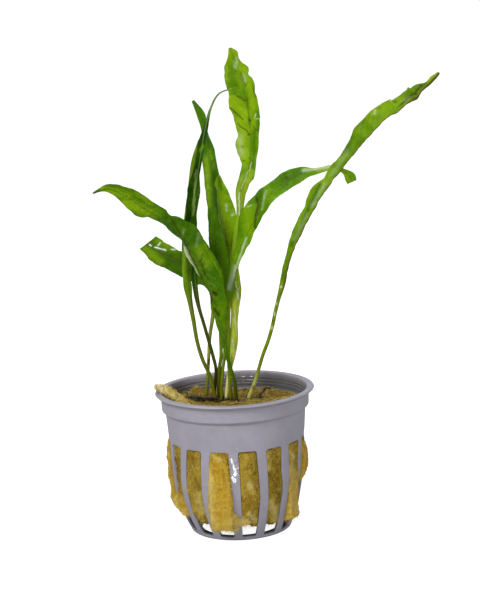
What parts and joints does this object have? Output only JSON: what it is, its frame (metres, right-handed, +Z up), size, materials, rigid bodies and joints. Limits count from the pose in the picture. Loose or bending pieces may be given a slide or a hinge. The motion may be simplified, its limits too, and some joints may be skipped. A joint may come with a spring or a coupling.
{
  "type": "potted aquarium fern",
  "caption": "Narrow-leaved java fern with upright, arching and folded fronds on thin stems, rooted in golden mineral wool that bulges through the slots of a small grey net pot",
  "frame": {"origin": "the middle of the whole plant's footprint box, on the surface that the pot stands on, so the pot's own axis stands 14 mm towards -X from it", "axes": "+Z up, along the pot's axis; -Y towards the viewer of the picture; +X towards the viewer's right, where the longest frond leans"},
  "size_m": [0.1148, 0.0549, 0.1659],
  "materials": {
    "grey_plastic": "smooth moulded grey plastic, half matt, slightly lavender",
    "mineral_wool": "wet golden-brown mineral wool, fibrous and matt",
    "rhizome_bark": "dark brown, scaly and damp",
    "root_right_brown": "dark wiry root, damp",
    "root_left_brown": "dark wiry root, damp",
    "root_front_brown": "dark wiry root, damp",
    "root_middle_brown": "dark wiry root, damp",
    "frond_tall_green": "wet green leaf, thin, smooth and glossy",
    "frond_right_green": "wet green leaf, thin, smooth and glossy",
    "frond_far_right_green": "wet green leaf, thin, smooth and glossy",
    "frond_front_left_green": "wet green leaf, thin, smooth and glossy",
    "frond_left_narrow_green": "wet green leaf, thin, smooth and glossy",
    "frond_dark_green": "wet green leaf, thin, smooth and glossy",
    "frond_cut_green": "wet green leaf, thin, smooth and glossy",
    "frond_back_green": "wet green leaf, thin, smooth and glossy",
    "frond_middle_green": "wet green leaf, thin, smooth and glossy",
    "frond_short_green": "wet green leaf, thin, smooth and glossy"
  },
  "bodies": {
    "root": {"net_pot": "grey_plastic", "wool_plug": "mineral_wool", "rhizome": "rhizome_bark", "root_right": "root_right_brown", "root_left": "root_left_brown", "root_front": "root_front_brown", "root_middle": "root_middle_brown", "frond_tall": "frond_tall_green", "frond_right": "frond_right_green", "frond_far_right": "frond_far_right_green", "frond_front_left": "frond_front_left_green", "frond_left_narrow": "frond_left_narrow_green", "frond_dark": "frond_dark_green", "frond_cut": "frond_cut_green", "frond_back": "frond_back_green", "frond_middle": "frond_middle_green", "frond_short": "frond_short_green"}
  },
  "joints": []
}
